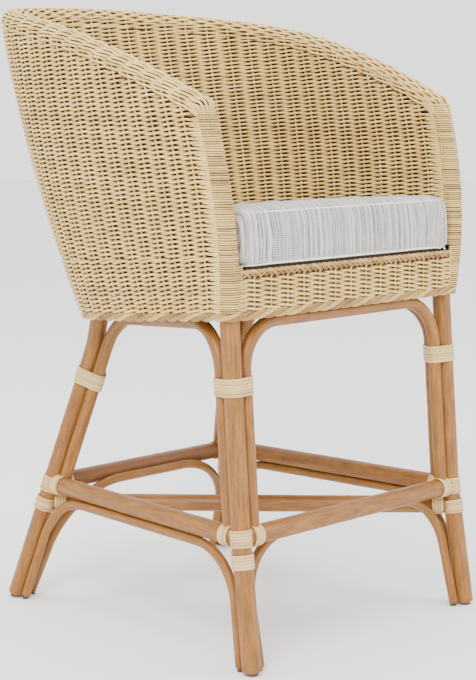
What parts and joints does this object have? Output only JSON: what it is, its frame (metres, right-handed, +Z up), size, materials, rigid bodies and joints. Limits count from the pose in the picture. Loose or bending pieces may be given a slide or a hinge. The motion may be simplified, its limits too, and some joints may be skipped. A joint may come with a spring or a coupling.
{
  "type": "counter stool",
  "caption": "Counter-height tub stool on a rattan pole frame with footrest, bent-pole arches, bound joints, double woven wicker wall and loose seat cushion.",
  "frame": {"origin": "on the floor, under the middle of the part's bounding box", "axes": "+Z up; -Y towards the front, where the footrest and the seat's open side are; +X towards the sitter's left"},
  "size_m": [0.6078, 0.6609, 0.981],
  "materials": {
    "rattan_pole": "varnished, honey tan",
    "cane_peel": "pale cane peel, satin",
    "woven_reed": "natural wicker, matt",
    "reed_stake": "natural reed, matt",
    "slat_wood": "planed softwood",
    "glide_plastic": "brown moulded plastic",
    "screw_steel": "zinc plated",
    "cushion_fabric": "heathered pale grey weave",
    "cushion_foam": "foam",
    "zip_plastic": "grey zip"
  },
  "bodies": {
    "frame": {"leg_front_right": "rattan_pole", "leg_front_left": "rattan_pole", "leg_back_right": "rattan_pole", "leg_back_left": "rattan_pole", "upper_arch_front": "rattan_pole", "upper_arch_back": "rattan_pole", "upper_arch_left": "rattan_pole", "upper_arch_right": "rattan_pole", "lower_arch_front": "rattan_pole", "lower_arch_back": "rattan_pole", "lower_arch_left": "rattan_pole", "lower_arch_right": "rattan_pole", "footrest_front": "rattan_pole", "stretcher_back": "rattan_pole", "stretcher_left": "rattan_pole", "stretcher_right": "rattan_pole", "cross_brace_under": "rattan_pole", "cross_brace_over": "rattan_pole", "upper_binding_front_right": "cane_peel", "upper_binding_front_left": "cane_peel", "upper_binding_back_right": "cane_peel", "upper_binding_back_left": "cane_peel", "ring_binding_front_right": "cane_peel", "ring_binding_front_left": "cane_peel", "ring_binding_back_right": "cane_peel", "ring_binding_back_left": "cane_peel", "brace_binding_front_right": "cane_peel", "brace_binding_front_left": "cane_peel", "brace_binding_back_right": "cane_peel", "brace_binding_back_left": "cane_peel", "glide_front_right": "glide_plastic", "glide_front_left": "glide_plastic", "glide_back_right": "glide_plastic", "glide_back_left": "glide_plastic", "arch_glides": "glide_plastic", "seat_hoop": "rattan_pole", "seat_slats": "slat_wood", "seat_deck": "woven_reed", "arm_post_right": "rattan_pole", "arm_post_left": "rattan_pole", "back_uprights": "rattan_pole", "top_rail": "rattan_pole", "outer_stakes": "reed_stake", "inner_stakes": "reed_stake", "outer_weave": "woven_reed", "inner_weave": "woven_reed", "rim_weave": "woven_reed", "apron_weave": "woven_reed", "skirt_braid": "woven_reed", "frame_screws": "screw_steel"},
    "cushion": {"cushion_cover": "cushion_fabric", "cushion_core": "cushion_foam", "cushion_zip": "zip_plastic"}
  },
  "joints": [
    {"name": "cushion_lift", "type": "slide", "parent": "frame", "child": "cushion", "axis": [0, 0, 1], "range_m": [0, 0.3]}
  ]
}
